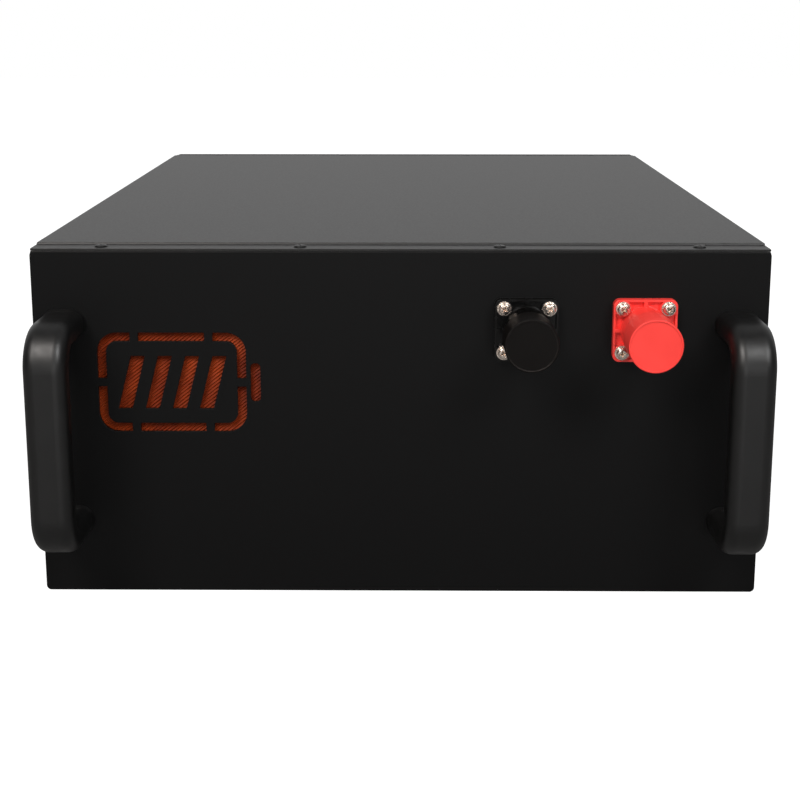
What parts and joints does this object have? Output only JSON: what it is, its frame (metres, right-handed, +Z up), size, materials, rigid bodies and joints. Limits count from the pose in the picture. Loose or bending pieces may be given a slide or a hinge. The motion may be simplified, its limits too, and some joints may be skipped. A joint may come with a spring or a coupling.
{
  "type": "battery pack",
  "caption": "Rack-height lithium battery pack: steel chassis with screwed lid, rigid bow handles, two capped stud terminals on the front and a row of cells inside.",
  "frame": {"origin": "centre of the chassis's bottom face, on the surface it stands on", "axes": "+Z up, front panel faces -Y, +X to the right seen from the front"},
  "size_m": [0.442, 0.5961, 0.2175],
  "materials": {
    "panel_black": "satin black powder coat",
    "chassis_black": "fine-textured black powder coat",
    "lid_black": "satin black powder coat",
    "zinc_steel": "zinc-plated sheet steel",
    "stainless": "bright stainless steel",
    "black_screw": "black oxide steel",
    "handle_black": "satin black moulded nylon",
    "terminal_black": "moulded, semi-gloss",
    "terminal_red": "moulded, semi-gloss",
    "cap_black": "soft satin plastic",
    "cap_red": "soft satin plastic",
    "brass": "turned brass",
    "gasket_rubber": "smooth rubber",
    "inlay_orange": "ribbed translucent plastic",
    "tape": "foam tape",
    "cell_film": "aluminium can in blue film",
    "aluminium": "milled aluminium",
    "insulator": "epoxy-glass sheet",
    "foam": "closed-cell foam",
    "copper": "tinned copper bar",
    "circuit_board": "solder-masked board",
    "cable_red": "silicone insulation",
    "cable_black": "silicone insulation",
    "plug_white": "moulded nylon"
  },
  "bodies": {
    "chassis": {"chassis_tub": "chassis_black", "front_rail": "zinc_steel", "rear_rail": "zinc_steel", "lid": "lid_black", "lid_screws": "black_screw", "clinch_nuts": "zinc_steel", "front_panel": "panel_black", "emblem_tape": "tape", "emblem_inlay": "inlay_orange", "front_panel_studs": "zinc_steel", "rear_panel": "chassis_black", "rear_panel_screws": "black_screw", "left_handle": "handle_black", "right_handle": "handle_black", "handle_inserts": "brass", "left_handle_bracket": "zinc_steel", "right_handle_bracket": "zinc_steel", "handle_washers": "zinc_steel", "handle_screws": "zinc_steel", "negative_terminal_base": "terminal_black", "positive_terminal_base": "terminal_red", "terminal_gaskets": "gasket_rubber", "terminal_studs": "brass", "contact_washers": "brass", "terminal_screw_washers": "stainless", "terminal_screws": "stainless", "m4_nuts": "zinc_steel", "left_cells": "cell_film", "right_cells": "cell_film", "cell_posts": "aluminium", "cell_spacers": "insulator", "end_plates": "aluminium", "cell_straps": "stainless", "insulators": "insulator", "cell_stop": "zinc_steel", "cell_foam": "foam", "lid_foam": "foam", "series_busbars": "copper", "cross_busbar": "copper", "positive_link_bar": "copper", "negative_link_bar": "copper", "busbar_nuts": "stainless", "bms_bracket": "zinc_steel", "bms_heatsink": "aluminium", "bms_board": "circuit_board", "bms_cover": "handle_black", "bms_screws": "zinc_steel", "bms_tabs": "copper", "cable_lugs": "copper", "positive_cable": "cable_red", "output_negative_cable": "cable_black", "battery_negative_cable": "cable_black", "lug_studs": "zinc_steel", "lug_washers": "zinc_steel", "lug_nuts": "zinc_steel", "sense_plug": "plug_white", "sense_loom": "cable_black", "sense_leads": "cable_red"},
    "negative_cap": {"negative_terminal_cap": "cap_black"},
    "positive_cap": {"positive_terminal_cap": "cap_red"}
  },
  "joints": [
    {"name": "negative_cap_pull", "type": "slide", "parent": "chassis", "child": "negative_cap", "axis": [0, -1, 0], "range_m": [0, 0.06]},
    {"name": "positive_cap_pull", "type": "slide", "parent": "chassis", "child": "positive_cap", "axis": [0, -1, 0], "range_m": [0, 0.06]}
  ]
}
